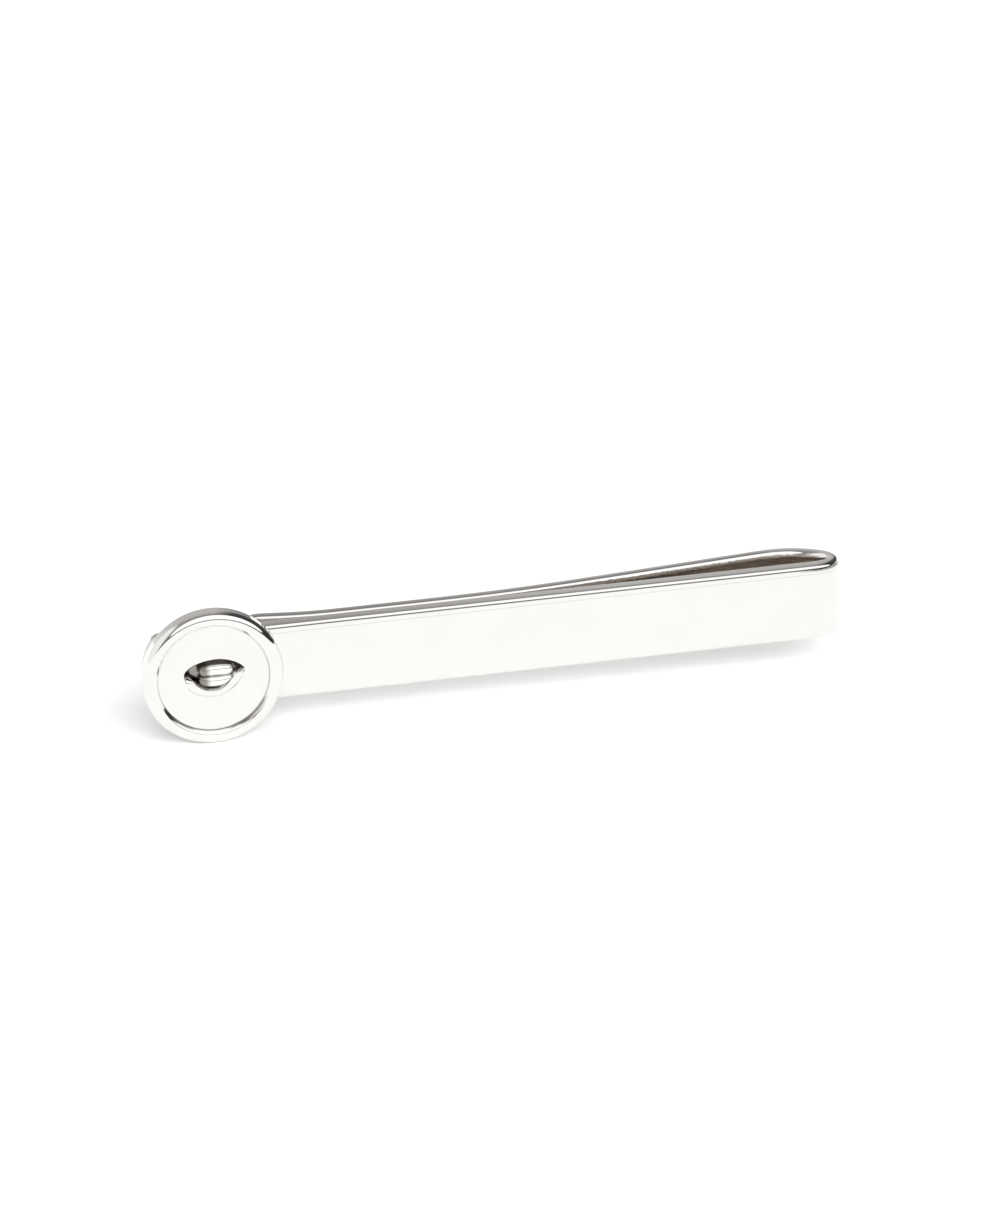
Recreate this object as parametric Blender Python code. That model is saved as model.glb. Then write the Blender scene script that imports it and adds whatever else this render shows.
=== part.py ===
"""Slide-on tie bar: one springy folded strip with a metal shirt button soldered to its front.

+X runs along the bar towards the fold, -Y is the side seen when worn, and +Z is up across the strip.
The origin lies on the front leg's inner face, near the middle of the bar and half way up the strip.
"""
import math

import bmesh
import bpy
import numpy as np
from mathutils import Matrix, Vector

MM = 0.001
SEAM = 0.04                       # clearance between neighbouring solids, mm

# Driving dimensions, mm and degrees
FOLD_END = 29.15                  # the outside of the fold, along the bar from the origin
BUTTON_X = -23.8                  # the button's centre
STRIP_WIDTH = 6.7
FRONT_THICK = 1.25
BACK_THICK = 0.93
EDGE_ROUND = 0.4
ROUND_LIMIT = 0.46                # an edge's round takes at most this share of the section's side
END_RADIUS = 5.5                  # the front leg's end is cut round the button's centre
BUTTON_RADIUS = 5.78
BUTTON_DISH_RADIUS = 4.6
BUTTON_BACK = 0.2                 # heights in front of the strip's face
BUTTON_EDGE_BACK = 0.45
BUTTON_FLAT_BACK = 2.7            # radius of the back's flat middle
BUTTON_BACK_ROUND = 0.2           # break between the back and the side
BUTTON_DISH = 1.64
BUTTON_CROWN = 1.99
CROWN_ROUND = 0.6
CROWN_FLAT = 0.28                 # width of the rim's level top
EYE_LENGTH = 4.9
EYE_HEIGHT = 3.1
EYE_TIP_RISE = 0.4                # the eye's tips lie above its middle
EYE_OFFSET = 0.12                 # and it sits this much nearer to the fold than the button's centre
EYE_DEPTH = 1.0
EYE_FLOOR_SHARE = 0.76            # the eye's floor against its rim
STRAND_RADIUS = 0.36
STRAND_SPACING = 1.0
STRAND_SPAN = 2.9
STRAND_OFFSET = 0.3
STRAND_ARCH = 0.12                # rise of a strand's middle over its ends
SOLDER_RADIUS = 2.5
# bends of the strip's middle line: where each starts past the fold's start, its length, its turn
NOSE_LENGTH, NOSE_TURN = 4.6, 148.6
NOSE_PEAK = 0.8                   # how much tighter the nose is at its middle than on average
SHOULDER_START, SHOULDER_LENGTH, SHOULDER_TURN = 2.35, 8.4, 37.4
BOW_START, BOW_LENGTH = 19.3, 23.0    # here the leaning back leg eases parallel to the front leg
FLARE_START, FLARE_LENGTH, FLARE_TURN = 43.8, 7.1, 9.2    # the tail turns out to let cloth in
TAIL_TIP = 54.7
TAIL_SWEEP = 78.0                 # the tail's round end stops this far round, in a short flat
FRONT_SEAM, BACK_SEAM = -4.4, 11.6    # plain strip kept with the fold on each side

# Worked out from them, mm
NOSE_REACH = 2.5                  # start of the fold to its outermost point
FOLD_START = FOLD_END - NOSE_REACH
BOW_TURN = NOSE_TURN + SHOULDER_TURN - 180.0
FACE_Y = -FRONT_THICK             # the front leg's outer face
HALF_WIDTH = STRIP_WIDTH / 2
PIVOT_Y = 1.0                     # the middle of the fold's opening, level with its nose


def ease(u, peak=1.0):
    """Share of a bend's turn made by the share u of its length; the curvature swells as a cosine."""
    u = np.clip(u, 0.0, 1.0)
    return u - peak * np.sin(2 * np.pi * u) / (2 * np.pi)


def strip_path(s):
    """Middle line of the strip, s mm past the start of the fold: x, y, heading and thickness.

    The heading is the sum of four eased bends, and the line is the running total of its direction.
    """
    fine = np.arange(FRONT_SEAM - 1.0, TAIL_TIP + 1.0, 0.02)
    heading = np.radians(
        NOSE_TURN * ease(fine / NOSE_LENGTH, NOSE_PEAK)
        + SHOULDER_TURN * ease((fine - SHOULDER_START) / SHOULDER_LENGTH)
        - BOW_TURN * ease((fine - BOW_START) / BOW_LENGTH)
        - FLARE_TURN * ease((fine - FLARE_START) / FLARE_LENGTH))
    step = fine[1] - fine[0]
    x = FOLD_START + fine[0] + np.concatenate([[0.0], np.cumsum(np.cos(heading[1:]) * step)])
    y = -FRONT_THICK / 2 + np.concatenate([[0.0], np.cumsum(np.sin(heading[1:]) * step)])
    thick = FRONT_THICK + (BACK_THICK - FRONT_THICK) * ease(fine / NOSE_LENGTH)
    return [np.interp(s, fine, values) for values in (x, y, heading, thick)]


def rounded_section(width, thick):
    """Closed outline (across, up) of a strip's cross-section: a rectangle with round corners."""
    radius = min(EDGE_ROUND, thick * ROUND_LIMIT, width * ROUND_LIMIT)
    points = []
    for corner in range(4):
        centre_a = (thick / 2 - radius) * (1 if corner in (0, 3) else -1)
        centre_z = (width / 2 - radius) * (1 if corner in (0, 1) else -1)
        for k in range(5):
            angle = math.radians(90 * corner + 22.5 * k)
            points.append((centre_a + radius * math.cos(angle), centre_z + radius * math.sin(angle)))
    return points


def new_object(name, bm, material):
    """Put a bmesh that was built in mm into a new object, in metres, shaded smooth."""
    bmesh.ops.scale(bm, vec=(MM, MM, MM), verts=bm.verts)
    bmesh.ops.recalc_face_normals(bm, faces=bm.faces)
    mesh = bpy.data.meshes.new(name)
    bm.to_mesh(mesh)
    bm.free()
    mesh.shade_smooth()
    mesh.set_sharp_from_angle(angle=math.radians(40))
    mesh.materials.append(material)
    obj = bpy.data.objects.new(name, mesh)
    bpy.context.collection.objects.link(obj)
    return obj


def metal(name, colour, roughness):
    """A plain polished metal."""
    material = bpy.data.materials.new(name)
    material.use_nodes = True
    shader = material.node_tree.nodes["Principled BSDF"]
    shader.inputs["Base Color"].default_value = (*colour, 1.0)
    shader.inputs["Metallic"].default_value = 1.0
    shader.inputs["Roughness"].default_value = roughness
    return material


def bridge_rings(bm, rings):
    """Join closed rings of points in order and cap both ends."""
    rows = [[bm.verts.new(p) for p in ring] for ring in rings]
    count = len(rows[0])
    for near, far in zip(rows, rows[1:]):
        for k in range(count):
            bm.faces.new((near[k], near[(k + 1) % count], far[(k + 1) % count], far[k]))
    bm.faces.new(rows[0])
    bm.faces.new(list(reversed(rows[-1])))


def swept_strip(name, stations, widths, material):
    """Carry the strip's cross-section along its middle line."""
    bm = bmesh.new()
    rings = []
    x, y, heading, thick = strip_path(np.asarray(stations))
    for k, width in enumerate(widths):
        out = Vector((math.sin(heading[k]), -math.cos(heading[k]), 0.0))
        middle = Vector((x[k], y[k], 0.0))
        rings.append([middle + out * a + Vector((0, 0, z)) for a, z in rounded_section(width, thick[k])])
    bridge_rings(bm, rings)
    return new_object(name, bm, material)


def front_leg(material):
    """The straight leg: a plate whose left end is an arc round the button's centre."""
    seam_x = FOLD_START + FRONT_SEAM - SEAM
    half_angle = math.asin(HALF_WIDTH / END_RADIUS)
    outline = [(seam_x, HALF_WIDTH)]
    for k in range(17):
        angle = math.pi - half_angle + 2 * half_angle * k / 16
        outline.append((BUTTON_X + END_RADIUS * math.cos(angle), END_RADIUS * math.sin(angle)))
    outline.append((seam_x, -HALF_WIDTH))
    bm = bmesh.new()
    face = bm.faces.new([bm.verts.new((x, FACE_Y, z)) for x, z in outline])
    grown = bmesh.ops.extrude_face_region(bm, geom=[face])
    moved = [v for v in grown["geom"] if isinstance(v, bmesh.types.BMVert)]
    bmesh.ops.translate(bm, vec=(0, FRONT_THICK, 0), verts=moved)
    at_seam = [v for v in bm.verts if abs(v.co.x - seam_x) < 1e-6]
    rims = [e for e in bm.edges
            if abs(e.verts[0].co.y - e.verts[1].co.y) < 1e-6 and not all(v in at_seam for v in e.verts)]
    bmesh.ops.bevel(bm, geom=rims, offset=EDGE_ROUND, segments=4, profile=0.5, affect="EDGES")
    return new_object("front_leg", bm, material)


def hairpin_fold(material):
    """The bend that joins the two legs and acts as the spring."""
    shoulder_end = SHOULDER_START + SHOULDER_LENGTH
    stations = np.concatenate([
        [FRONT_SEAM], np.linspace(0.0, NOSE_LENGTH, 17), np.linspace(NOSE_LENGTH + 0.6, shoulder_end, 8),
        [BACK_SEAM]])
    return swept_strip("hairpin_fold", stations, [STRIP_WIDTH] * len(stations), material)


def back_leg(material):
    """The springy leg behind: it leans in, eases parallel, then flares out to a round tail."""
    turned = np.linspace(0.0, math.radians(TAIL_SWEEP), 9)
    round_off = TAIL_TIP - HALF_WIDTH + HALF_WIDTH * np.sin(turned)
    straight = np.concatenate([
        [BACK_SEAM + SEAM], np.linspace(BOW_START, BOW_START + BOW_LENGTH, 11),
        np.linspace(FLARE_START, FLARE_START + FLARE_LENGTH, 7)])
    widths = np.concatenate([np.full(len(straight), STRIP_WIDTH), STRIP_WIDTH * np.cos(turned)])
    return swept_strip("back_leg", np.concatenate([straight, round_off]), widths, material)


def button_profile():
    """Half section (radius, height) of the button, from the middle of its back to the middle of its dish."""
    crown_r = BUTTON_RADIUS - CROWN_ROUND
    points = [(0.0, BUTTON_BACK), (BUTTON_FLAT_BACK, BUTTON_BACK)]
    points += [(BUTTON_RADIUS - BUTTON_BACK_ROUND, BUTTON_EDGE_BACK)]
    points += [(BUTTON_RADIUS, BUTTON_EDGE_BACK + BUTTON_BACK_ROUND)]
    for angle in np.radians(np.linspace(0, 90, 9)):
        points.append((crown_r + CROWN_ROUND * math.cos(angle),
                       BUTTON_CROWN - CROWN_ROUND + CROWN_ROUND * math.sin(angle)))
    points += [(crown_r - CROWN_FLAT, BUTTON_CROWN - 0.02), (BUTTON_DISH_RADIUS, BUTTON_DISH)]
    points += [(0.0, BUTTON_DISH)]
    return points


def almond(share, count=12):
    """Outline (x, z) of the eye at a share of its size: two arcs that meet in tips above its middle."""
    length, height, rise = EYE_LENGTH * share, EYE_HEIGHT * share, EYE_TIP_RISE * share
    outline = []
    for side in (1, -1):
        bulge = height / 2 - side * rise
        radius = (length ** 2 / 4 + bulge ** 2) / (2 * bulge)
        half = math.asin(length / 2 / radius)
        outline += [(side * radius * math.sin(a), rise + side * (radius * math.cos(a) - radius + bulge))
                    for a in np.linspace(-half, half, count, endpoint=False)]
    return outline


def button_body(material):
    """Turn the button's profile, then sink the almond eye into its dish."""
    profile = button_profile()
    bm = bmesh.new()
    verts = [bm.verts.new((r, -h, 0.0)) for r, h in profile]
    edges = [bm.edges.new(pair) for pair in zip(verts, verts[1:])]
    bmesh.ops.spin(bm, geom=verts + edges, axis=(0, 1, 0), cent=(0, 0, 0),
                   angle=2 * math.pi, steps=56, use_merge=True, use_duplicate=False)
    bmesh.ops.remove_doubles(bm, verts=bm.verts, dist=1e-4)
    bmesh.ops.translate(bm, vec=(BUTTON_X, FACE_Y, 0), verts=bm.verts)
    button = new_object("button_body", bm, material)

    cutter_bm = bmesh.new()
    rings = []
    wall_lean = (1.0 - EYE_FLOOR_SHARE) / EYE_DEPTH
    for height in (BUTTON_DISH + 0.3, BUTTON_DISH - EYE_DEPTH):
        share = 1.0 + wall_lean * (height - BUTTON_DISH)
        rings.append([(BUTTON_X + EYE_OFFSET + x, FACE_Y - height, z) for x, z in almond(share)])
    bridge_rings(cutter_bm, rings)
    cutter = new_object("eye_cutter", cutter_bm, material)
    cutter.hide_render = True
    cutter.display_type = "WIRE"
    cut = button.modifiers.new("eye", "BOOLEAN")
    cut.operation = "DIFFERENCE"
    cut.solver = "EXACT"
    cut.object = cutter
    return button


def thread_strand(name, side, material):
    """One cast strand that arches over the eye from hole to hole; side is 1 for upper, -1 for lower."""
    floor = BUTTON_DISH - EYE_DEPTH + SEAM
    rings = []
    for u in np.linspace(-1.0, 1.0, 13):
        x = BUTTON_X + STRAND_OFFSET + STRAND_SPAN / 2 * u
        height = floor + STRAND_RADIUS + STRAND_ARCH * (1 - u * u)
        z = side * STRAND_SPACING / 2 * (1 - 0.25 * u * u)
        radius = STRAND_RADIUS * math.sqrt(max(0.12, 1 - u ** 6))
        rings.append([(x, FACE_Y - height - radius * math.sin(a), z + radius * math.cos(a))
                      for a in np.linspace(0, 2 * math.pi, 12, endpoint=False)])
    bm = bmesh.new()
    bridge_rings(bm, rings)
    return new_object(name, bm, material)


def solder_pad(material):
    """The thin disc of solder that holds the button on the strip."""
    bm = bmesh.new()
    turn = Matrix.Rotation(math.radians(90), 4, "X")
    depth = BUTTON_BACK - 2 * SEAM
    place = Matrix.Translation((BUTTON_X, FACE_Y - SEAM - depth / 2, 0))
    bmesh.ops.create_cone(bm, cap_ends=True, segments=32, radius1=SOLDER_RADIUS, radius2=SOLDER_RADIUS,
                          depth=depth, matrix=place @ turn)
    return new_object("solder_pad", bm, material)


for old in list(bpy.data.objects):
    bpy.data.objects.remove(old)

bright = metal("bright_plate", (0.86, 0.855, 0.84), 0.06)
inner = metal("strand_plate", (0.8, 0.795, 0.78), 0.12)
solder = metal("solder", (0.62, 0.62, 0.6), 0.3)

front_leg(bright)
hairpin_fold(bright)
button_body(bright)
for name, side in (("thread_strand_upper", 1), ("thread_strand_lower", -1)):
    thread_strand(name, side, inner)
solder_pad(solder)

# the back leg turns about the middle of the fold
pivot = bpy.data.objects.new("leg_pivot", None)
bpy.context.collection.objects.link(pivot)
pivot.location = (FOLD_START * MM, PIVOT_Y * MM, 0.0)
leg = back_leg(bright)
leg.parent = pivot
leg.matrix_parent_inverse = Matrix.Translation(-pivot.location)
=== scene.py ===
"""A slide-on tie bar: a bright folded spring strip with a cast shirt button soldered near its open end.

+X runs along the bar towards the fold, -Y is the side seen when worn, and +Z is up across the strip.
Shapes are worked out in mm and become metres when their mesh is made.
"""
import bmesh
import bpy
import numpy as np
from mathutils import Matrix, Vector


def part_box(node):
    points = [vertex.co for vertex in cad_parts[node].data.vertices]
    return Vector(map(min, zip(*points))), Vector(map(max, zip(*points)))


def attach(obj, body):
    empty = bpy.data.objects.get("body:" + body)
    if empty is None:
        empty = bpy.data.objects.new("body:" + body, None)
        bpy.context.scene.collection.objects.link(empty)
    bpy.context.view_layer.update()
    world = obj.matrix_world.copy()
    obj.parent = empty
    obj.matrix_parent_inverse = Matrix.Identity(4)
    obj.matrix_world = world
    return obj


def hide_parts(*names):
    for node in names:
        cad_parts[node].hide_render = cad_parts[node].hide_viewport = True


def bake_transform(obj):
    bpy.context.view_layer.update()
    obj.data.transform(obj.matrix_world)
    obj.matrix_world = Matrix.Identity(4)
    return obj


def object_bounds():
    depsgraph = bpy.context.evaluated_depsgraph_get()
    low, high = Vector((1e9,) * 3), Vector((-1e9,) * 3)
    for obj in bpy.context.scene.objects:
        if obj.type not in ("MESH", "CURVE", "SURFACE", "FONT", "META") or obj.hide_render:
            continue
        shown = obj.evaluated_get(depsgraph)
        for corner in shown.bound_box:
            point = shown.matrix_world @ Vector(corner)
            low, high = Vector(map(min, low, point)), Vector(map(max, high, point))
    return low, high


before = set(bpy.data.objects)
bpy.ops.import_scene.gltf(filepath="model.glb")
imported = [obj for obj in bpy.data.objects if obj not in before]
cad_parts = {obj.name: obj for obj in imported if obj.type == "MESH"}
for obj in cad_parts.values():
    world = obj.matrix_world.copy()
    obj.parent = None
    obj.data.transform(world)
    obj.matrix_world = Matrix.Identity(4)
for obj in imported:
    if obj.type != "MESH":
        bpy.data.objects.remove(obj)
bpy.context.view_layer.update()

# --- The strip's front leg -------------------------------------------------------------------------
# The straight half of one long strip of sprung metal, blanked with a rounded end, its edges rolled
# over by tumbling, then polished and plated bright. The inner side never gets the polishing wheel;
# its warmer colour is that finish with painted shade from the gap between the legs. The plain edges
# darken towards the open end, and a painted reflection line runs along the upper edge's roll.

MM = 0.001


def in_mm(length):
    """A length of the frame in mm, to the nearest micron."""
    return round(length / MM, 3)


leg_low, leg_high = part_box("front_leg")
button_low, button_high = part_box("button_body")
STRIP_WIDTH = in_mm(leg_high.z - leg_low.z)
FRONT_THICK = in_mm(leg_high.y - leg_low.y)
FACE_Y = in_mm(leg_low.y)            # the front leg's outer face; its inner face lies at zero
BUTTON_X = in_mm((button_low.x + button_high.x) / 2)
FRONT_END_RADIUS = 5.5               # the end is cut round the button's centre
CORNER_ROUND = 0.85                  # where that cut meets the long sides
EDGE_ROUND = 0.4                     # the tight part of the rolled edge
EDGE_ROLL, ROLL_END = 1.8, 16.0      # the gentle part next to the face: its radius, and its turn in degrees

# the strip's middle line: its straight run, then each bend's start past FOLD_START, length and turn
FOLD_START = 26.65                   # along the bar, where the strip leaves its straight run
FRONT_SEAM = -4.4                    # plain strip kept with the fold on this side
NOSE_LENGTH, NOSE_TURN = 4.6, 148.6
NOSE_PEAK = 0.8                      # how much tighter the nose is at its middle than on average
SHOULDER_START, SHOULDER_LENGTH, SHOULDER_TURN = 2.35, 8.4, 37.4
BOW_START, BOW_LENGTH = 19.3, 23.0   # here the leaning back leg eases parallel to the front leg
FLARE_START, FLARE_LENGTH, FLARE_TURN = 43.8, 7.1, 9.2
TAIL_TIP = 54.7
STRAIGHT_RUN, FINE_STEP = 60.0, 0.01 # how far the line is worked out before the fold, and its step

# mesh rows and columns
GENTLE_ROWS, TIGHT_ROWS = 9, 17      # over the two parts of the rolled edge
SIDE_COLUMNS, CORNER_COLUMNS, END_COLUMNS = 120, 8, 61
SPINE_STOP = 12                      # the middle row ends this many columns short, and the face fans out

# where the finish and the painted marks change, as shares of the thickness from its middle, or mm from
# FOLD_START
INNER_FROM, INNER_OVER = 0.4, 0.09   # the unpolished inner side, with its painted shade, starts here, eased over this
EDGE_TO, EDGE_OVER = 0.38, 0.12      # the plain edge ends here, eased over this
EDGE_DARKENING = 0.32                    # the plain edge darkens by this much towards the open end
EDGE_DARK_FROM, EDGE_DARK_OVER = 16.0, 26.0  # it starts here and grows to its full strength over this
PAINTED_ROLL_LINE = 0.3                     # a painted reflection line where the upper edge's roll begins
LINE_MARGIN = 0.04                   # that line's half width, mm


def ease(u, peak=1.0):
    """Share of a bend's turn made by the share u of its length; the curvature swells as a cosine."""
    u = np.clip(u, 0.0, 1.0)
    return u - peak * np.sin(2 * np.pi * u) / (2 * np.pi)


def strip_path(s):
    """Middle line of the strip, s mm past the start of the fold: x, y and heading.

    The heading is the sum of four eased bends, and the line is the running total of its direction.
    Before the fold the line runs straight on, so s may be as negative as the front leg is long.
    """
    fine = np.arange(-STRAIGHT_RUN, TAIL_TIP + 1.0, FINE_STEP)
    bow_turn = NOSE_TURN + SHOULDER_TURN - 180.0
    heading = np.radians(
        NOSE_TURN * ease(fine / NOSE_LENGTH, NOSE_PEAK)
        + SHOULDER_TURN * ease((fine - SHOULDER_START) / SHOULDER_LENGTH)
        - bow_turn * ease((fine - BOW_START) / BOW_LENGTH)
        - FLARE_TURN * ease((fine - FLARE_START) / FLARE_LENGTH))
    middle = (heading[1:] + heading[:-1]) / 2
    x = FOLD_START + fine[0] + np.concatenate([[0.0], np.cumsum(np.cos(middle) * FINE_STEP)])
    y = -FRONT_THICK / 2 + np.concatenate([[0.0], np.cumsum(np.sin(middle) * FINE_STEP)])
    return [np.interp(s, fine, values) for values in (x, y, heading)]


def on_strip(s, across, z):
    """A point of the strip: its middle line at s, moved across the thickness and up the width."""
    x, y, heading = strip_path(s)
    return np.stack([x + across * np.sin(heading), y - across * np.cos(heading), z + 0 * s], axis=-1)


def edge_profile(thick):
    """Inset from the outline, height across the thickness, and a mark, over the edge from face to face.

    The surface turns through a wide gentle arc next to each face, then through a tight one down to
    the plain edge. Both are circles, so each value is a radius times a sine or a cosine of the turn.
    The mark is 1 where the outer face begins to roll, and 0 elsewhere; it places a painted reflection line
    there.
    """
    meet = np.radians(ROLL_END)
    turn = np.radians(np.concatenate([np.linspace(0, ROLL_END, GENTLE_ROWS),
                                      np.linspace(ROLL_END, 90, TIGHT_ROWS + 1)[1:]]))
    gentle = np.minimum(turn, meet)
    tight = np.maximum(turn, meet)
    inset = EDGE_ROUND * (1 - np.sin(tight)) + EDGE_ROLL * (np.sin(meet) - np.sin(gentle))
    across = thick / 2 - EDGE_ROLL * (1 - np.cos(gentle)) - EDGE_ROUND * (np.cos(meet) - np.cos(tight))
    inset = np.concatenate([[inset[0] + LINE_MARGIN], inset])
    across = np.concatenate([[thick / 2], across])
    mark = (np.arange(2 * len(inset)) == 1) * 1.0
    return np.concatenate([inset, inset[::-1]]), np.concatenate([across, -across[::-1]]), mark


def inner_side(across_share):
    """1 on the face that looks at the other leg and 0 elsewhere, eased over the end of the rolled edge."""
    return np.clip((-across_share - INNER_FROM) / INNER_OVER, 0.0, 1.0)


def leg_grid(cut, centre, end_radius, toward, thick):
    """A leg as a grid, with how far it takes the inner side's tone, unpolished with painted shade, and the
    dark colour of its darker plain edges and painted reflection line, at each row or point.

    Rows go from the face's middle over the edge to the back's middle. Columns go round the outline:
    out along the upper side, round the end and back along the lower side. Each outline point is a
    base point plus a radius in some direction, so taking the inset off the radius gives the outline
    parallel to it: for the sides the base is the middle line, for the two corners a small circle's
    centre, and for the end the centre of its arc.
    """
    half = STRIP_WIDTH / 2
    corner_up = half - CORNER_ROUND
    lean = np.arcsin(min(1.0, corner_up / (end_radius - CORNER_ROUND)))
    corner_s = centre + toward * (end_radius - CORNER_ROUND) * np.cos(lean)
    side = np.linspace(cut, corner_s, SIDE_COLUMNS)
    has_corners = end_radius > half      # a full half circle runs straight into the sides
    corner = np.linspace(np.pi / 2, lean, CORNER_COLUMNS + 2)[1:-1] if has_corners else np.array([])
    end = np.linspace(lean, -lean, END_COLUMNS)
    counts = (SIDE_COLUMNS, len(corner), END_COLUMNS, len(corner), SIDE_COLUMNS)
    angle = np.concatenate([np.full(SIDE_COLUMNS, np.pi / 2), corner, end, -corner[::-1],
                            np.full(SIDE_COLUMNS, -np.pi / 2)])
    base_s = np.concatenate([side, np.repeat([corner_s, centre, corner_s], counts[1:4]), side[::-1]])
    base_z = np.repeat([0.0, corner_up, 0.0, -corner_up, 0.0], counts)
    radius = np.repeat([half, CORNER_ROUND, end_radius, CORNER_ROUND, half], counts)
    inset, across, mark = edge_profile(thick)
    reach = radius - inset[:, None]
    middle_row = toward * np.minimum(toward * base_s, toward * side[-SPINE_STOP])[None, :]
    s = np.concatenate([middle_row, base_s + toward * np.cos(angle) * reach, middle_row])
    z = np.pad(base_z + np.sin(angle) * reach, ((1, 1), (0, 0)))
    across = np.pad(across, 1, mode="edge")[:, None]
    mark = np.pad(mark, 1)[:, None]
    unpolished_and_shade = inner_side(across / thick)
    on_edge = np.clip((EDGE_TO - np.abs(across / thick)) / EDGE_OVER, 0, 1)
    # the plain edge darkens towards the open end; the upper edge gets a painted reflection line
    edge_dark_and_painted_lines = EDGE_DARKENING * on_edge * np.clip((np.abs(s) - EDGE_DARK_FROM) / EDGE_DARK_OVER, 0, 1)
    edge_dark_and_painted_lines = edge_dark_and_painted_lines + PAINTED_ROLL_LINE * mark * np.clip(np.sin(angle), 0, 1)
    return on_strip(s, across, z), unpolished_and_shade, edge_dark_and_painted_lines


WELD = 1e-7                          # points nearer than this, in metres, are one
SHARP_ANGLE = np.radians(35)


def solid(name, grid, inside, around=False, edge_dark_and_painted_lines=0.0):
    """Make a closed mesh from a grid of points in mm: quads between neighbours, doubles welded, and
    open ends filled. Two attributes are kept: inside, 1 where the surface takes the duller second
    colour, the strip's unpolished inner side with painted shade and painted shade in the button's eye
    and creases; and the share of dark colour for darker plain edges and painted reflection lines."""
    rows, cols = grid.shape[:2]
    index = np.arange(rows * cols).reshape(rows, cols)
    if around:
        index = np.concatenate([index, index[:, :1]], axis=1)
    quads = np.stack([index[:-1, :-1], index[:-1, 1:], index[1:, 1:], index[1:, :-1]], axis=-1)
    mesh = bpy.data.meshes.new(name)
    mesh.from_pydata((grid.reshape(-1, 3) * MM).tolist(), [], quads.reshape(-1, 4).tolist())
    for label, values in (("inside", inside), ("edge_dark_and_painted_lines", edge_dark_and_painted_lines)):
        layer = mesh.attributes.new(label, "FLOAT", "POINT")
        layer.data.foreach_set("value", np.broadcast_to(values, (rows, cols)).astype(np.float32).ravel())
    bm = bmesh.new()
    bm.from_mesh(mesh)
    bmesh.ops.remove_doubles(bm, verts=bm.verts, dist=WELD)
    open_edges = [e for e in bm.edges if e.is_boundary]
    bmesh.ops.holes_fill(bm, edges=open_edges, sides=0)
    bmesh.ops.recalc_face_normals(bm, faces=bm.faces)
    bm.to_mesh(mesh)
    bm.free()
    mesh.shade_smooth()
    mesh.set_sharp_from_angle(angle=SHARP_ANGLE)
    obj = bpy.data.objects.new(name, mesh)
    bpy.context.scene.collection.objects.link(obj)
    return obj


class Nodes:
    """Short hands for building a node tree."""

    def __init__(self, tree):
        self.tree = tree
        tree.nodes.clear()

    def add(self, kind, **values):
        node = self.tree.nodes.new(kind)
        for key, value in values.items():
            setattr(node, key, value)
        return node

    def link(self, source, target):
        self.tree.links.new(source, target)

    def set_or_link(self, value, target):
        """Put a number or colour on a socket, or link another socket to it."""
        if isinstance(value, bpy.types.NodeSocket):
            self.link(value, target)
        elif isinstance(value, tuple):
            target.default_value = (*value, 1.0)
        else:
            target.default_value = value

    def math(self, operation, a, b=None):
        node = self.add("ShaderNodeMath", operation=operation)
        self.set_or_link(a, node.inputs[0])
        if b is not None:
            self.set_or_link(b, node.inputs[1])
        return node.outputs[0]

    def mix(self, factor, a, b, blend="MIX"):
        """Colour a where the factor is 0, and b, or a times b, where it is 1."""
        node = self.add("ShaderNodeMix", data_type="RGBA", blend_type=blend)
        for label, value in (("Factor", factor), ("A", a), ("B", b)):
            self.set_or_link(value, node.inputs[label])
        return node.outputs["Result"]

    def ramp(self, factor, *stops):
        """A straight run from stop to stop, each a place and a grey or a colour."""
        node = self.add("ShaderNodeValToRGB")
        elements = node.color_ramp.elements
        while len(elements) < len(stops):
            elements.new(0.5)
        for element, (place, colour) in zip(elements, stops):
            element.position = place
            element.color = (*colour, 1.0) if isinstance(colour, tuple) else (colour, colour, colour, 1.0)
        self.link(factor, node.inputs[0])
        return node.outputs[0]

    def stretched(self, place, scale, turn=(0.0, 0.0, 0.0)):
        """The place turned, in radians, and scaled along each axis."""
        node = self.add("ShaderNodeMapping")
        node.inputs["Scale"].default_value = scale
        node.inputs["Rotation"].default_value = turn
        self.link(place, node.inputs["Vector"])
        return node.outputs[0]

    def noise(self, place, scale, detail=2.0):
        node = self.add("ShaderNodeTexNoise")
        node.inputs["Scale"].default_value = scale
        node.inputs["Detail"].default_value = detail
        self.link(place, node.inputs["Vector"])
        return node.outputs["Fac"]

    def attribute(self, label):
        return self.add("ShaderNodeAttribute", attribute_name=label).outputs["Fac"]


BRIGHT = (0.77, 0.766, 0.753)        # the plate where the wheel has been
INNER_SIDE_TONE = (0.78, 0.72, 0.66)      # warmer on the strip's unpolished inner side: that finish with painted shade from the gap
# dark colour mixed in for the darker plain edges and the painted reflection lines
LINE_AND_EDGE_DARK = (0.12, 0.115, 0.105)
LINE_STRETCH, LINE_DETAIL = 0.03, 3.0    # the polishing lines' pitch across the bar over that along it
CLOUD_SCALE, CLOUD_DEPTH = 420.0, 0.985  # a mottling so slight that it is only just there
SCRATCH_CELLS = (900.0, 900.0, 60.0)     # hairlines are the borders of long leaning cells
SCRATCH_LEAN, SCRATCH_WIDTH = (0.3, 0.9, 0.4), 0.012
SCRATCH_DEPTH = -0.5                     # of a hairline in the bump, where a polishing line is 1
SCRATCH_ROUGH, WORN_ROUGH = 0.03, 0.16   # added to the roughness
LUMP_SCALE = 5200.0                      # the skin that no wheel has touched


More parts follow.
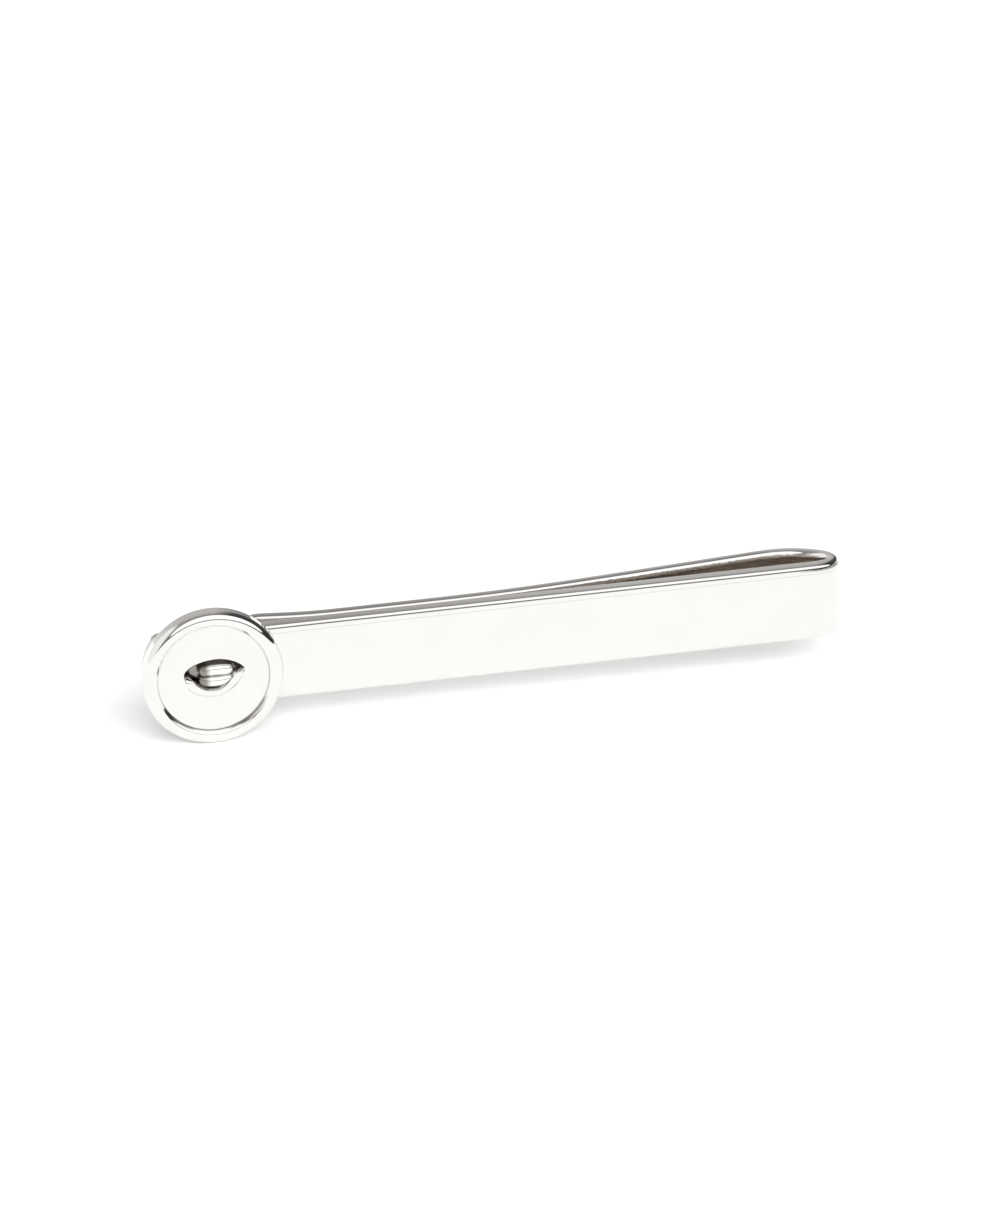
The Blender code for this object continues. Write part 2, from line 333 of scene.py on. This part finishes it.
def plated_metal(name, bright, shade_and_dull, roughness, grain_scale, line_depth, lump_height=0.0):
    """Bright plate over polished metal.

    Fine polishing lines run along the bar, as noise stretched along X; sparse hairline scratches
    cross them; both show in the roughness and as a very slight bump. Where the inside attribute is 1
    the surface takes the second colour, less smooth and, with a lump height, a little lumpy: the
    strip's unpolished inner side with painted shade from the gap, and painted shade in the button's
    eye and dish corner and on the strands. The second attribute mixes in a dark colour: darker plain
    edges and painted reflection lines.
    """
    material = bpy.data.materials.new(name)
    material.use_nodes = True
    n = Nodes(material.node_tree)
    place = n.add("ShaderNodeTexCoord").outputs["Object"]
    along_bar = n.stretched(place, (grain_scale * LINE_STRETCH, grain_scale, grain_scale))
    lines = n.noise(along_bar, 1.0, LINE_DETAIL)
    cloud = n.noise(place, CLOUD_SCALE)
    cells = n.add("ShaderNodeTexVoronoi", feature="DISTANCE_TO_EDGE")
    cells.inputs["Scale"].default_value = 1.0
    n.link(n.stretched(place, SCRATCH_CELLS, SCRATCH_LEAN), cells.inputs["Vector"])
    scratch = n.ramp(cells.outputs["Distance"], (0.0, 1.0), (SCRATCH_WIDTH, 0.0))

    unpolished_and_shade = n.attribute("inside")
    mottled = n.ramp(cloud, (0.35, bright), (0.7, tuple(c * CLOUD_DEPTH for c in bright)))
    inside_tone = n.ramp(lines, (0.3, shade_and_dull), (0.7, tuple(c * 0.8 for c in shade_and_dull)))
    colour = n.mix(n.attribute("edge_dark_and_painted_lines"), n.mix(unpolished_and_shade, mottled, inside_tone), LINE_AND_EDGE_DARK)

    rough = n.math("ADD", n.math("MULTIPLY", lines, roughness * 0.9), roughness * 0.5)
    rough = n.math("ADD", rough, n.math("MULTIPLY", scratch, SCRATCH_ROUGH))
    rough = n.math("ADD", rough, n.math("MULTIPLY", unpolished_and_shade, WORN_ROUGH))

    lumps = n.math("MULTIPLY", n.math("MULTIPLY", unpolished_and_shade, n.noise(place, LUMP_SCALE)), lump_height)
    height = n.math("ADD", n.math("ADD", lines, n.math("MULTIPLY", scratch, SCRATCH_DEPTH)), lumps)
    bump = n.add("ShaderNodeBump")
    bump.inputs["Strength"].default_value = 1.0
    bump.inputs["Distance"].default_value = line_depth
    n.link(height, bump.inputs["Height"])

    shader = n.add("ShaderNodeBsdfPrincipled")
    shader.inputs["Metallic"].default_value = 1.0
    n.link(colour, shader.inputs["Base Color"])
    n.link(rough, shader.inputs["Roughness"])
    n.link(bump.outputs[0], shader.inputs["Normal"])
    n.link(shader.outputs[0], n.add("ShaderNodeOutputMaterial").inputs[0])
    return material


strip_plate = plated_metal("strip_plate", BRIGHT, INNER_SIDE_TONE, roughness=0.05, grain_scale=9000.0,
                           line_depth=2e-8, lump_height=1300.0)
grid, unpolished_and_shade, edge_dark_and_painted_lines = leg_grid(FRONT_SEAM, BUTTON_X - FOLD_START, FRONT_END_RADIUS, -1, FRONT_THICK)
front_leg = solid("front_leg_plate", grid, unpolished_and_shade, edge_dark_and_painted_lines=edge_dark_and_painted_lines)
front_leg.data.materials.append(strip_plate)
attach(front_leg, "front")
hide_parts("front_leg")

# --- The hairpin fold ------------------------------------------------------------------------------
# The same strip bent back on itself over a thin mandrel, tightest at its nose and easing out over a
# long shoulder. It is the spring: both ends of it meet the legs with no seam in the real strip.

BACK_THICK = 0.93                    # the strip is rolled thinner behind the nose
BACK_SEAM = 11.6                     # plain strip kept with the fold on that side
STRAIGHT_STEPS, NOSE_STEPS, SHOULDER_STEPS = 11, 89, 50
NOSE_EASE_REACH, NOSE_EASE_SHARE = 1.9, 0.75    # how far from the nose's middle, and how much, the inner side's tone and its painted shade are eased off
NOSE_REFLECTION_AT = (-1.4, 0.2, 3.0, 4.0)     # painted reflection line in the upper edge's roll near the nose: start, full, still full, gone
NOSE_REFLECTION_DARK = (0.3, 0.7, 0.85, 0.85, 0.4)     # over the last rows of the gentle part


def section(thick):
    """Across, up and mark values once round the strip's cross-section, a rectangle with rolled corners."""
    inset, across, mark = edge_profile(thick)
    half = STRIP_WIDTH / 2
    up = np.concatenate([half - inset, -half + inset[::-1]])
    return np.concatenate([across, across[::-1]]), up, np.concatenate([mark, 0 * mark])


s = np.concatenate([np.linspace(FRONT_SEAM, 0, STRAIGHT_STEPS + 1)[:-1],
                    np.linspace(0, NOSE_LENGTH, NOSE_STEPS + 1)[:-1],
                    np.linspace(NOSE_LENGTH, BACK_SEAM, SHOULDER_STEPS)])[:, None]
thick = FRONT_THICK + (BACK_THICK - FRONT_THICK) * ease(s / NOSE_LENGTH)
front_across, up, mark = section(FRONT_THICK)
back_across = section(BACK_THICK)[0]
thinned = (FRONT_THICK - thick) / (FRONT_THICK - BACK_THICK)
across = front_across * (1 - thinned) + back_across * thinned
near_nose_middle = np.clip(1 - np.abs(s - NOSE_LENGTH / 2) / NOSE_EASE_REACH, 0, 1)
unpolished_and_shade = inner_side(across / thick) * (1 - NOSE_EASE_SHARE * near_nose_middle)
# painted reflection lines in the upper edge's roll: the faint one all along, and a dark one at the nose
nose_reflection = np.zeros(len(mark))
nose_reflection[GENTLE_ROWS + 1 - len(NOSE_REFLECTION_DARK):GENTLE_ROWS + 1] = NOSE_REFLECTION_DARK
edge_dark_and_painted_lines = PAINTED_ROLL_LINE * mark + np.interp(s, NOSE_REFLECTION_AT, (0, 1, 1, 0)) * nose_reflection
fold = solid("fold_plate", on_strip(s, across, up + 0 * across), unpolished_and_shade, around=True, edge_dark_and_painted_lines=edge_dark_and_painted_lines)
fold.data.materials.append(strip_plate)
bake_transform(fold)
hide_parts("hairpin_fold")

# --- The back leg ----------------------------------------------------------------------------------
# The springy half of the strip behind the tie. It leans in until it nearly touches the front leg,
# then flares out to a round tail so that cloth slides in. Thinned a little by rolling.

BACK_DARKER = 1.25                   # its edge darkening and painted reflection line are this much stronger than the front leg's
grid, unpolished_and_shade, edge_dark_and_painted_lines = leg_grid(BACK_SEAM, TAIL_TIP - STRIP_WIDTH / 2, STRIP_WIDTH / 2, 1, BACK_THICK)
back_leg = solid("back_leg_plate", grid, unpolished_and_shade, edge_dark_and_painted_lines=BACK_DARKER * edge_dark_and_painted_lines)
back_leg.data.materials.append(strip_plate)
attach(back_leg, "back")
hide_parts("back_leg")

# --- The button ------------------------------------------------------------------------------------
# A cast metal copy of a sewn shirt button: a disc with a rounded rim, a flat dish, and an almond eye
# sunk in its middle. Cast in one piece, tumbled, polished and plated like the strip.

# heights are in front of the strip's face
BUTTON_RADIUS = in_mm((button_high.x - button_low.x) / 2)
BUTTON_CROWN = in_mm(leg_low.y - button_low.y)
BUTTON_BACK, BUTTON_EDGE_BACK, BUTTON_DISH = 0.2, 0.45, 1.64
SIDE_BREAK = 0.2                     # height of the break between the back and the upright side
DISH_RADIUS = 4.6
# the rim, as (length, heading at its start, at its end): tight over the outside, gentle on top, then
# a short steep wall down to the dish
RIM_BENDS = [(0.419, 90, 138), (0.34, 138, 164), (0.122, 164, 171), (0.251, 171, 180),
             (0.06, 180, 196), (0.14, 196, 218), (0.17, 218, 218)]
RIM_RISE = 0.582                     # height gained by the first four bends
ARC_STEPS, ROUND_STEPS = 12, 288

EYE_LENGTH, EYE_HEIGHT, EYE_OFFSET = 4.9, 3.1, 0.12
EYE_TIP_RISE, EYE_TILT = 0.44, 0.1   # the tips lie above the eye's middle, the right one higher
EYE_BLUNT, EYE_SHARP = 0.5, 0.84     # powers that make the left end blunter than the right
EYE_DEPTH = 1.0
LIP, LIP_TURN, LIP_EASED = 0.22, 75.0, 0.62      # round of the rim, its turn, and how far that is less below
EYE_REACH = 2.2                      # the eye's half length, roughly, to turn mm into a share of its size
FOOT_SHARE, SHELF_NARROWS = 0.8, 0.2     # the wall's foot against the outline, and how far it is less below
SHELF_END, SHELF_DROP = 0.66, 0.07   # shares of the lower wall's width and height taken by its shelf
SHELF_STEEP = 1.2                    # power that rounds the shelf's edge over
BELOW_LEVEL, BELOW_GAIN = 0.15, 2.2  # how soon and how fast the shelf comes in below the middle
WALL_STOP = 0.1                      # the wall ends this far above the full depth
FLOOR_SHARES = np.array([0.92, 0.75, 0.5, 0.25, 0.0])[:, None]
FLOOR_RISES = np.array([0.07, 0.06, 0.06, 0.06, 0.06])[:, None]

# painted shade colour for the eye, the dish's corner and the strands' lower flanks
BUTTON_SHADE = (0.3, 0.285, 0.26)
CREASE_SHADE = (0.1, 0.3, 0.45, 0.25)     # painted shade in the dish's corner, over the profile's last rows
CORNER_ROWS, CORNER_SHADE = 20, 0.85      # more painted shade on the steep wall, in two arcs low down
LOW_LEFT, LOW_RIGHT, ARC_FADE = (228, 24), (308, 28), 8      # their middles, half lengths and fade, degrees


def carried(start, *bends):
    """A profile of arcs and straights: each bend is (length, heading at its start, at its end).

    The point moves along the heading, in degrees, while the heading changes evenly.
    """
    points = [np.array([start])]
    for length, first, last in bends:
        t = (np.arange(ARC_STEPS) + 0.5) / ARC_STEPS
        heading = np.radians(first + (last - first) * t)
        step = length / ARC_STEPS * np.stack([np.cos(heading), np.sin(heading)], axis=-1)
        points.append(points[-1][-1] + np.cumsum(step, axis=0))
    return np.concatenate(points)


def almond(angle):
    """The eye's outline, one point for each angle: an upper and a lower bow above a sloping line.

    Each bow is its height times one less the square of the place along the eye, raised to a power
    below one, which blunts the end.
    """
    along = np.cos(angle)
    bulge = np.where(np.sin(angle) >= 0, EYE_HEIGHT / 2 - EYE_TIP_RISE, -EYE_HEIGHT / 2 - EYE_TIP_RISE)
    fullness = np.clip(1 - along ** 2, 0, 1) ** np.where(along < 0, EYE_BLUNT, EYE_SHARP)
    return EYE_LENGTH / 2 * along, EYE_TIP_RISE + EYE_TILT * along + bulge * fullness


# the profile, (radius, height), from the middle of the back round the rim to the dish
side_foot = BUTTON_EDGE_BACK + SIDE_BREAK
side_height = BUTTON_CROWN - RIM_RISE - side_foot
back = np.array([[0.0, BUTTON_BACK], [2.0, BUTTON_BACK], [4.0, BUTTON_BACK + 0.1], [5.1, 0.28], [5.4, 0.33],
                 [5.62, 0.43], [5.72, 0.54]])
rim = carried((BUTTON_RADIUS, side_foot), (side_height, 90, 90), *RIM_BENDS)
wall_foot = np.array([DISH_RADIUS, BUTTON_DISH]) + np.array([
    [0.03, 0.11], [0.01, 0.04], [-0.02, 0.008], [-0.06, 0.0], [-0.12, 0.0]])
profile = np.concatenate([back, rim, wall_foot])
angle = np.linspace(0, 2 * np.pi, ROUND_STEPS, endpoint=False)
disc_x, disc_z = profile[:, :1] * np.cos(angle), profile[:, :1] * np.sin(angle)
disc_h = profile[:, 1:] + 0 * angle

# Below its middle the eye is a shallow shelf with a steep step at its foot; above it has one steep wall.
eye_x, eye_z = almond(angle)
below = np.clip(BELOW_LEVEL - np.sin(angle) * BELOW_GAIN, 0, 1)
below = below ** 2 * (3 - 2 * below)
lip = np.radians(np.linspace(0, LIP_TURN, 9))[:, None] * (1 - LIP_EASED * below)
lip_share = 1.0 + LIP / EYE_REACH * (1 - np.sin(lip))
lip_down = LIP * (1 - np.cos(lip))
wall = np.linspace(0.06, 1.0, 18)[:, None]
foot_share = FOOT_SHARE - SHELF_NARROWS * below
wall_share = lip_share[-1] + (foot_share - lip_share[-1]) * wall
steep = np.clip(wall - SHELF_END, 0, 1) / (1 - SHELF_END)
shelf = SHELF_DROP * wall + (1 - SHELF_DROP) * steep ** SHELF_STEEP
drop = (1 - below) * wall + below * shelf
wall_down = lip_down[-1] + (EYE_DEPTH - WALL_STOP - lip_down[-1]) * drop
eye_share = np.concatenate([lip_share, wall_share, foot_share * FLOOR_SHARES])
eye_down = np.concatenate([lip_down, wall_down, EYE_DEPTH - FLOOR_RISES + 0 * angle])

# the flat of the dish runs from its round border in to the eye's outline
inward = np.linspace(0.1, 0.98, 10)[:, None]
flat_x = disc_x[-1] * (1 - inward) + (EYE_OFFSET + eye_x * lip_share[0]) * inward
flat_z = disc_z[-1] * (1 - inward) + eye_z * lip_share[0] * inward
all_x = np.concatenate([disc_x, flat_x, EYE_OFFSET + eye_x * eye_share])
all_z = np.concatenate([disc_z, flat_z, eye_z * eye_share])
all_h = np.concatenate([disc_h, np.full_like(flat_x, BUTTON_DISH), BUTTON_DISH - eye_down])
grid = np.stack([BUTTON_X + all_x, FACE_Y - all_h, all_z], axis=-1)

# painted shade, on a rougher surface: the corner of the dish, most of it low down, and the inside of the eye
corner_shade = np.zeros((len(profile), 1))
corner_shade[-2 - CORNER_ROWS:-2, 0] = np.clip(np.linspace(-0.6, 2.2, CORNER_ROWS), 0, 1)
crease_shade = np.zeros((len(profile), 1))
crease_shade[-1 - len(CREASE_SHADE):-1, 0] = CREASE_SHADE
low_arcs = sum(np.clip((half_length - np.abs(np.degrees(angle) - middle)) / ARC_FADE, 0, 1)
               for middle, half_length in (LOW_LEFT, LOW_RIGHT))
disc_shade = np.maximum(crease_shade, CORNER_SHADE * corner_shade * low_arcs)
wall_shade = wall ** 0.5 * (1 - below) + steep * below
shade_and_dull = np.concatenate([disc_shade, np.zeros_like(flat_x), np.zeros_like(lip_share), wall_shade,
                       np.ones((len(FLOOR_SHARES), ROUND_STEPS))])

button = solid("button_disc", grid, shade_and_dull, around=True)
button_plate = plated_metal("button_plate", BRIGHT, BUTTON_SHADE, roughness=0.045, grain_scale=5000.0,
                            line_depth=2e-8)
button.data.materials.append(button_plate)
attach(button, "front")
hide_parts("button_body")

# --- The two thread strands ------------------------------------------------------------------------
# Cast with the button in imitation of sewing thread: two fat strands that arch out of one hole, lie
# side by side over the eye and dive into the other. The wheel can't reach them, so they are softer.
# Their left third and lower flanks are darkened as painted shade, and their plate is lighter than
# the button's as a painted highlight.

STRAND_RADIUS, STRAND_SPACING, STRAND_SPAN = 0.36, 1.0, 2.9
STRAND_WIDER = 1.36                  # height of a strand over its depth
STRAND_OFFSET, STRAND_ARCH = 0.3, 0.12
STRAND_GAP = 0.04                    # between a strand and the CAD's floor of the eye
STRAND_CLOSING, STRAND_BLUNT = 0.25, 6   # how far the ends draw together, and the power that blunts them
SHADE_LEFT_FROM, SHADE_LEFT_OVER = 0.3, 0.3    # along the strand, where painted shade starts on its left third, eased over this
SHADE_FLANK_FROM, SHADE_FLANK_GAIN = 0.55, 1.8     # painted shade round the strand, on its lower flank

# the strands' plate is brighter than the button's, though the same metal: a painted highlight
strand_plate = plated_metal("strand_plate", (0.86, 0.855, 0.84), BUTTON_SHADE, roughness=0.05,
                            grain_scale=7000.0, line_depth=4e-8)
u = np.linspace(-1, 1, 61)[:, None]
turn = np.linspace(0, 2 * np.pi, 48, endpoint=False)
deep = STRAND_RADIUS * np.sqrt(1 - np.abs(u) ** STRAND_BLUNT)
rise = BUTTON_DISH - EYE_DEPTH + STRAND_GAP + STRAND_RADIUS + STRAND_ARCH * (1 - u * u)
strand_x = BUTTON_X + STRAND_OFFSET + STRAND_SPAN / 2 * u + 0 * turn
strand_y = FACE_Y - rise - deep * np.sin(turn)
# painted shade: darker over the left third and round the lower flank
shade_and_dull = (np.clip((-u - SHADE_LEFT_FROM) / SHADE_LEFT_OVER, 0, 1)
        + np.clip(-np.cos(turn) - SHADE_FLANK_FROM, 0, 1) * SHADE_FLANK_GAIN)
for name, side in (("upper", 1), ("lower", -1)):
    middle_z = side * STRAND_SPACING / 2 * (1 - STRAND_CLOSING * u * u)
    strand_z = middle_z + deep * STRAND_WIDER * np.cos(turn)
    strand = solid("strand_" + name, np.stack([strand_x, strand_y, strand_z], axis=-1), shade_and_dull, around=True)
    strand.data.materials.append(strand_plate)
    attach(strand, "front")
    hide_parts("thread_strand_" + name)

# --- The solder ------------------------------------------------------------------------------------
# A thin pool of hard solder between the button's back and the strip, drawn in to a waist as it set
# and plated over with the rest.

POOL_RADIUS, POOL_LOW, POOL_HIGH = 2.5, 0.04, 0.16
pool = np.array([[0.0, POOL_LOW], [POOL_RADIUS, POOL_LOW], [2.42, 0.07], [2.38, 0.1], [2.42, 0.13],
                 [POOL_RADIUS, POOL_HIGH], [0.0, POOL_HIGH]])
angle = np.linspace(0, 2 * np.pi, 96, endpoint=False)
grid = np.stack([BUTTON_X + pool[:, :1] * np.cos(angle), FACE_Y - pool[:, 1:] + 0 * angle,
                 pool[:, :1] * np.sin(angle)], axis=-1)
solder = solid("solder_pool", grid, 0.0, around=True)
solder_skin = plated_metal("solder_skin", (0.66, 0.66, 0.64), (0.5, 0.5, 0.5), roughness=0.25,
                           grain_scale=3000.0, line_depth=3e-7)
solder.data.materials.append(solder_skin)
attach(solder, "front")
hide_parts("solder_pad")

# --- The table -------------------------------------------------------------------------------------
# A sheet of matt white card laid flat, wide enough to fill every view. The button's rim just
# touches it.

TABLE_REACH = 3.0                    # metres each way
low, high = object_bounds()
table = bpy.data.meshes.new("table")
corners = [(x * TABLE_REACH, y * TABLE_REACH, low.z) for x, y in ((-1, -1), (1, -1), (1, 1), (-1, 1))]
table.from_pydata(corners, [], [(0, 1, 2, 3)])
table_top = bpy.data.objects.new("table_top", table)
bpy.context.scene.collection.objects.link(table_top)
white = bpy.data.materials.new("white_table")
white.use_nodes = True
paint = white.node_tree.nodes["Principled BSDF"]
paint.inputs["Base Color"].default_value = (0.93, 0.93, 0.925, 1)
paint.inputs["Roughness"].default_value = 1.0
paint.inputs["Specular IOR Level"].default_value = 0.0
table.materials.append(white)

# --- The studio light ------------------------------------------------------------------------------
# One round-cornered softbox in front, from just over the table to high up, in a dim room: darkest
# along the front horizon and to the right, paler behind the bar, with a lit wall on the left. All is
# told by direction alone, and the metal sees other strengths than those that light the table.

GLOSS_BOX, LEFT_WALL = 1.35, (1.1, 1.1, 1.09)    # as the metal sees them
FILL, KEY = 0.75, 4.0                # light on the table from all round, and from the box on top of that
BOX_ACROSS, BOX_HALF_ACROSS = 0.2, 0.66      # the box's middle and half width, as X of the direction
BOX_CLIMB, BOX_HALF_CLIMB = float(np.radians(30)), float(np.radians(30))
BOX_SQUARENESS = 2.4                 # 2 would be an ellipse, and more is squarer
BOX_SOFT_FROM = 0.88                 # its border fades from this share of its size
LEFT_WALL_FROM, LEFT_WALL_FULL = 0.25, 0.18      # places from left to right, 0 to 1
DARK_FROM, DARK_FULL, DARK_LEVEL = 0.6, 0.76, 0.14
# the room's grey at each climb, in degrees from the front horizon over the top to the back
CLIMB_LEVELS = ((-180, 0.86), (-150, 0.96), (-12, 1.0), (-7, 0.24), (8, 0.24), (59, 0.3), (72, 0.31),
                (90, 0.4), (108, 0.56), (157, 0.6), (180, 0.88))


def at(degrees):
    """Place on a ramp of a climb from the front horizon over the top to the back."""
    return (degrees + 180.0) / 360.0


def warm(level):
    """A dim room colour: the darker it is, the browner."""
    return (level, level * (0.94 + 0.06 * level), level * (0.88 + 0.12 * level))


world = bpy.data.worlds.new("studio")
bpy.context.scene.world = world
world.use_nodes = True
n = Nodes(world.node_tree)
towards = n.add("ShaderNodeSeparateXYZ")
n.link(n.add("ShaderNodeTexCoord").outputs["Generated"], towards.inputs[0])
climb = n.math("ARCTAN2", towards.outputs["Z"], n.math("MULTIPLY", towards.outputs["Y"], -1.0))
turned_up = n.math("DIVIDE", n.math("ADD", climb, np.pi), 2 * np.pi)
rightward = n.math("MULTIPLY", n.math("ADD", towards.outputs["X"], 1.0), 0.5)

off_across = n.math("DIVIDE", n.math("SUBTRACT", towards.outputs["X"], BOX_ACROSS), BOX_HALF_ACROSS)
off_climb = n.math("DIVIDE", n.math("SUBTRACT", climb, BOX_CLIMB), BOX_HALF_CLIMB)
off_box = n.math("ADD", n.math("POWER", n.math("ABSOLUTE", off_across), BOX_SQUARENESS),
                 n.math("POWER", n.math("ABSOLUTE", off_climb), BOX_SQUARENESS))
over_table = n.ramp(turned_up, (at(7), 0.0), (at(10), 1.0))
box_here = n.math("MULTIPLY", n.ramp(off_box, (BOX_SOFT_FROM, 1.0), (1.0, 0.0)), over_table)

room = n.ramp(turned_up, *((at(degrees), warm(level)) for degrees, level in CLIMB_LEVELS))
on_left = n.ramp(rightward, (LEFT_WALL_FULL, 1.0), (LEFT_WALL_FROM, 0.0))
on_right = n.ramp(rightward, (DARK_FROM, 1.0), (DARK_FULL, DARK_LEVEL))
walls = n.mix(1.0, n.mix(on_left, room, LEFT_WALL), on_right, blend="MULTIPLY")
reflected = n.add("ShaderNodeBackground")
n.link(n.mix(box_here, walls, (GLOSS_BOX, GLOSS_BOX, GLOSS_BOX)), reflected.inputs["Color"])
lamps = n.add("ShaderNodeBackground")
lamps.inputs["Color"].default_value = (1, 1, 1, 1)
n.link(n.math("ADD", n.math("MULTIPLY", box_here, KEY), FILL), lamps.inputs["Strength"])
plain = n.add("ShaderNodeBackground")
plain.inputs["Color"].default_value = (1, 1, 1, 1)

light_path = n.add("ShaderNodeLightPath")
last = lamps
for ray, shader in (("Is Glossy Ray", reflected), ("Is Camera Ray", plain)):
    choose = n.add("ShaderNodeMixShader")
    n.link(light_path.outputs[ray], choose.inputs[0])
    n.link(last.outputs[0], choose.inputs[1])
    n.link(shader.outputs[0], choose.inputs[2])
    last = choose
n.link(last.outputs[0], n.add("ShaderNodeOutputWorld").inputs[0])

# --- The camera ------------------------------------------------------------------------------------
# A long lens from the front, a little left of square and looking down. It takes in the whole bar, by
# an aim that is moved from a spot at the middle of the button's foot.

AZIMUTH, ELEVATION, ROLL = np.radians(11.69), np.radians(24.41), np.radians(-1.37)
AIM_FROM = (-23.85, FACE_Y, 0)
AIM_RIGHT, AIM_UP, DISTANCE = 23.53, 5.08, 585.0
LENS, SENSOR = 214.28, 36.0

back_to_camera = Vector((-np.sin(AZIMUTH) * np.cos(ELEVATION), -np.cos(AZIMUTH) * np.cos(ELEVATION),
                         np.sin(ELEVATION)))
right = Vector((np.cos(AZIMUTH), -np.sin(AZIMUTH), 0))
upward = back_to_camera.cross(right)
right, upward = (right * np.cos(ROLL) + upward * np.sin(ROLL), upward * np.cos(ROLL) - right * np.sin(ROLL))
camera_data = bpy.data.cameras.new("camera")
camera_data.lens = LENS
camera_data.sensor_width = SENSOR
camera_data.clip_start, camera_data.clip_end = 0.01, 20.0
camera = bpy.data.objects.new("camera", camera_data)
bpy.context.scene.collection.objects.link(camera)
spot = Vector(AIM_FROM) + back_to_camera * DISTANCE + right * AIM_RIGHT + upward * AIM_UP
axes = Matrix((right, upward, back_to_camera)).transposed().to_4x4()
camera.matrix_world = Matrix.Translation(spot * MM) @ axes
bpy.context.scene.camera = camera
bpy.context.scene.view_settings.view_transform = "Standard"
